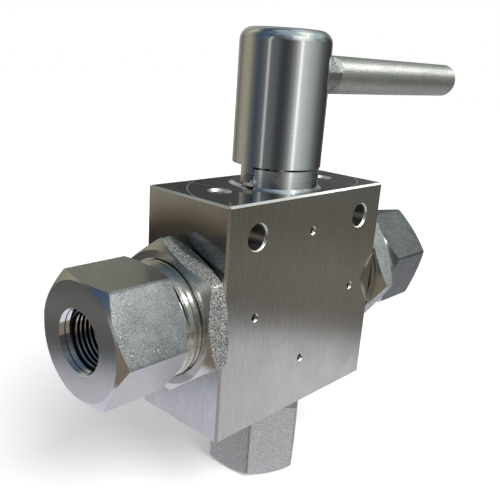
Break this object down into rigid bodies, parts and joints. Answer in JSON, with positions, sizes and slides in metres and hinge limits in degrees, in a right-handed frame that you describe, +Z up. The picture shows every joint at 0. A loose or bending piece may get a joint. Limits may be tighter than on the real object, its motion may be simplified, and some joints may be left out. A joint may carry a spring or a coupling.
{
  "type": "three-way ball valve",
  "caption": "High-pressure diverter ball valve: rectangular steel block, hexagonal side and bottom port adapters, locknuts and a round hub with a bar handle that turns half a turn.",
  "frame": {"origin": "centre of the bottom port's face, on the stem axis, where the valve stands", "axes": "+Z up along the stem axis; +X along the right port and the handle bar at rest; -Y out of the block's front face with the weep holes"},
  "size_m": [0.1969, 0.051, 0.1632],
  "materials": {
    "block_steel": "machined, fine vertical grain",
    "adapter_steel": "blasted flats, turned ends",
    "nut_steel": "coarse grit-blasted flats, turned faces",
    "hub_steel": "turned and polished",
    "bar_steel": "fine blasted",
    "gland_steel": "turned",
    "stem_steel": "lapped ball, ground shank",
    "seat_polymer": "natural high-strength polymer",
    "packing_polymer": "white fluoropolymer",
    "seal_rubber": "smooth black",
    "bearing_bronze": "bored bronze"
  },
  "bodies": {
    "valve": {"valve_block": "block_steel", "left_adapter": "adapter_steel", "right_adapter": "adapter_steel", "bottom_adapter": "adapter_steel", "left_locknut": "nut_steel", "right_locknut": "nut_steel", "left_seat": "seat_polymer", "right_seat": "seat_polymer", "bottom_seat": "seat_polymer", "left_oring": "seal_rubber", "right_oring": "seal_rubber", "bottom_oring": "seal_rubber", "left_backup_ring": "packing_polymer", "right_backup_ring": "packing_polymer", "bottom_backup_ring": "packing_polymer", "lower_bearing": "bearing_bronze", "thrust_washer": "seat_polymer", "packing_backing_ring": "gland_steel", "stem_packing": "packing_polymer", "packing_follower": "gland_steel", "packing_gland": "gland_steel", "gland_bushing": "bearing_bronze"},
    "handle": {"ball_stem": "stem_steel", "handle_hub": "hub_steel", "handle_bar": "bar_steel"}
  },
  "joints": [
    {"name": "handle_turn", "type": "hinge", "parent": "valve", "child": "handle", "pos_m": [0, 0, 0.0719], "axis": [0, 0, 1], "range_deg": [-180, 0]}
  ]
}
